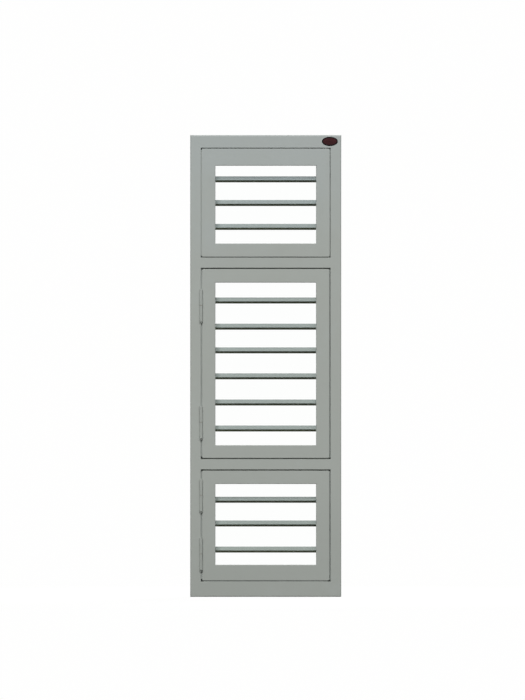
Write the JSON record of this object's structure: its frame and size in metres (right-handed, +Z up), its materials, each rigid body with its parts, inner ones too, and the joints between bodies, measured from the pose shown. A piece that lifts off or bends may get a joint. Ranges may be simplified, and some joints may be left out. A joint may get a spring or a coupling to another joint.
{
  "type": "french window",
  "caption": "Narrow french window of pressed steel with a fixed top light, two outward leaves one above the other on barrel hinges, and guard bars behind.",
  "frame": {"origin": "middle of the sill's underside, half way across the width and half way through the depth", "axes": "+Z up, +X to the right seen from the street, -Y out to the street and +Y into the room"},
  "size_m": [0.69, 0.1147, 2.11],
  "materials": {
    "frame_paint": "satin",
    "sash_paint": "satin",
    "bar_paint": "satin",
    "hinge_paint": "satin",
    "bead_paint": "satin",
    "fastener_metal": "satin",
    "glass": "clear"
  },
  "bodies": {
    "frame": {"frame_head": "frame_paint", "frame_sill": "frame_paint", "frame_jamb_left": "frame_paint", "frame_jamb_right": "frame_paint", "transom_upper": "frame_paint", "transom_lower": "frame_paint", "bars_top_light": "bar_paint", "bars_middle_light": "bar_paint", "bars_bottom_light": "bar_paint", "top_light_stile_left": "sash_paint", "top_light_stile_right": "sash_paint", "top_light_rail_top": "sash_paint", "top_light_rail_bottom": "sash_paint", "top_light_pane": "glass", "top_light_bead": "bead_paint", "middle_leaf_hinge_top_knuckle": "hinge_paint", "middle_leaf_hinge_low_knuckle": "hinge_paint", "bottom_leaf_hinge_top_knuckle": "hinge_paint", "bottom_leaf_hinge_low_knuckle": "hinge_paint"},
    "middle_leaf": {"middle_leaf_stile_left": "sash_paint", "middle_leaf_stile_right": "sash_paint", "middle_leaf_rail_top": "sash_paint", "middle_leaf_rail_bottom": "sash_paint", "middle_leaf_pane": "glass", "middle_leaf_bead": "bead_paint", "middle_leaf_fastener": "fastener_metal", "middle_leaf_hinge_top_barrel": "hinge_paint", "middle_leaf_hinge_low_barrel": "hinge_paint"},
    "bottom_leaf": {"bottom_leaf_stile_left": "sash_paint", "bottom_leaf_stile_right": "sash_paint", "bottom_leaf_rail_top": "sash_paint", "bottom_leaf_rail_bottom": "sash_paint", "bottom_leaf_pane": "glass", "bottom_leaf_bead": "bead_paint", "bottom_leaf_fastener": "fastener_metal", "bottom_leaf_hinge_top_barrel": "hinge_paint", "bottom_leaf_hinge_low_barrel": "hinge_paint"}
  },
  "joints": [
    {"name": "middle_leaf_swing", "type": "hinge", "parent": "frame", "child": "middle_leaf", "pos_m": [-0.2956, -0.058, 1.066], "axis": [0, 0, -1], "range_deg": [0, 110]},
    {"name": "bottom_leaf_swing", "type": "hinge", "parent": "frame", "child": "bottom_leaf", "pos_m": [-0.2956, -0.058, 0.3255], "axis": [0, 0, -1], "range_deg": [0, 110]}
  ]
}
